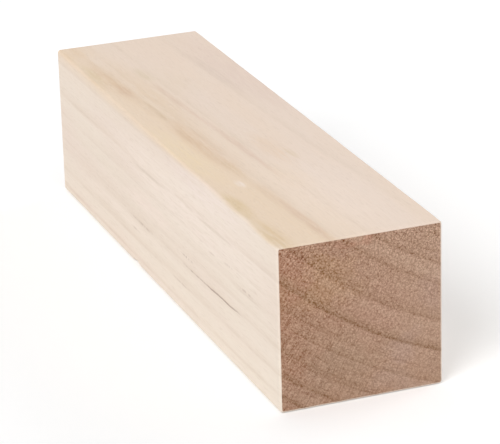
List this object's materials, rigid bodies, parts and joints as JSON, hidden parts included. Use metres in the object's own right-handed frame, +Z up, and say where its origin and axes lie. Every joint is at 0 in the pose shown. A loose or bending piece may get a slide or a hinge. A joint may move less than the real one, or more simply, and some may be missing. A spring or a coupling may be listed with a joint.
{
  "type": "wood carving block",
  "caption": "Square stick of plain pale basswood, planed on its long faces and sawn across the grain at its ends, for carving by hand.",
  "frame": {"origin": "middle of the bottom face", "axes": "+Z up; the length and the wood's grain run along Y, with the end that the camera sees at -Y; +X is to the right of someone looking along +Y"},
  "size_m": [0.0254, 0.1016, 0.0254],
  "materials": {
    "basswood": "bare, planed smooth along the grain, sawn and sanded end grain, no oil or varnish"
  },
  "bodies": {
    "root": {"carving_block": "basswood"}
  },
  "joints": []
}
